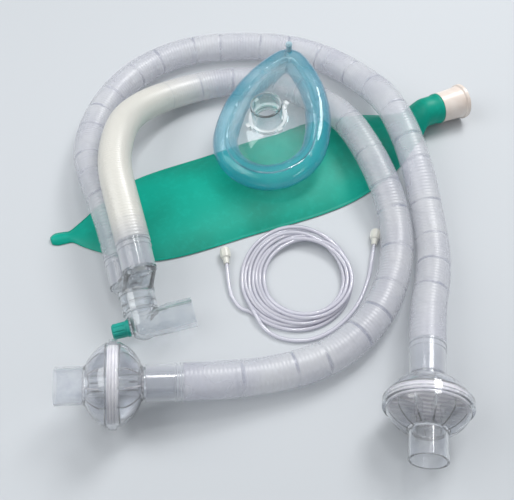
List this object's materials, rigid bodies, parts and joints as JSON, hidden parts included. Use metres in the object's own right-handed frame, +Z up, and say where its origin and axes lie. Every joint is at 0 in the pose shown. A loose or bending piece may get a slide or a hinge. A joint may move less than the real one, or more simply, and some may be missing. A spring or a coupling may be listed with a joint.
{
  "type": "anesthesia breathing circuit",
  "caption": "Corrugated breathing hoses with wye and swivel elbow, filters, a rebreathing bag, a cushioned face mask and a coiled gas sampling line, laid out as a kit.",
  "frame": {"origin": "on the floor, under the middle of the kit without its hoses and sampling line", "axes": "+Z up from the floor the kit lies on; +Y from the filters and the elbow towards the mask's nose; +X towards the bag's bushing"},
  "size_m": [0.3595, 0.4259, 0.0743],
  "materials": {
    "clear_connector": "clear glossy moulding",
    "sampling_cap": "teal, satin",
    "filter_housing": "clear glossy moulding",
    "filter_media": "white pleated fleece",
    "hose": "frosted translucent corrugated film",
    "hose_cuff": "frosted soft moulding",
    "bag": "green, satin",
    "bushing": "beige, glossy",
    "mask_dome": "clear glossy moulding",
    "mask_cushion": "blue, translucent soft film",
    "hook_ring": "clear glossy moulding",
    "cushion_valve": "white, satin",
    "sampling_line": "clear small-bore tubing",
    "luer_lock": "cream, glossy"
  },
  "bodies": {
    "circuit": {"wye_body": "clear_connector", "inspiratory_filter_hose_shell": "filter_housing", "inspiratory_filter_port_shell": "filter_housing", "inspiratory_filter_media": "filter_media", "inspiratory_filter_cuff": "hose_cuff", "expiratory_filter_hose_shell": "filter_housing", "expiratory_filter_port_shell": "filter_housing", "expiratory_filter_media": "filter_media", "expiratory_filter_cuff": "hose_cuff", "inspiratory_hose": "hose", "expiratory_hose": "hose", "inspiratory_wye_cuff": "hose_cuff", "expiratory_wye_cuff": "hose_cuff", "breathing_bag": "bag", "bag_bushing": "bushing", "mask_dome": "mask_dome", "mask_cushion": "mask_cushion", "mask_hook_ring": "hook_ring", "cushion_valve_stem": "cushion_valve", "sampling_line_coil": "sampling_line", "left_luer_lock": "luer_lock", "sampling_line_left_tail": "sampling_line", "right_luer_lock": "luer_lock", "sampling_line_right_tail": "sampling_line"},
    "elbow": {"patient_elbow": "clear_connector"},
    "cap": {"sampling_port_cap": "sampling_cap"},
    "valve_plug": {"cushion_valve_plug": "cushion_valve"}
  },
  "joints": [
    {"name": "elbow_swivel", "type": "hinge", "parent": "circuit", "child": "elbow", "pos_m": [-0.0935, -0.08, 0.0168], "axis": [-0.2723, 0.9313, 0.2419], "continuous": true},
    {"name": "cap_pull", "type": "slide", "parent": "elbow", "child": "cap", "axis": [-0.9598, -0.2807, 0], "range_m": [0, 0.012]},
    {"name": "valve_plug_pull", "type": "slide", "parent": "circuit", "child": "valve_plug", "axis": [-0.1007, -0.1381, 0.9853], "range_m": [0, 0.008]}
  ]
}
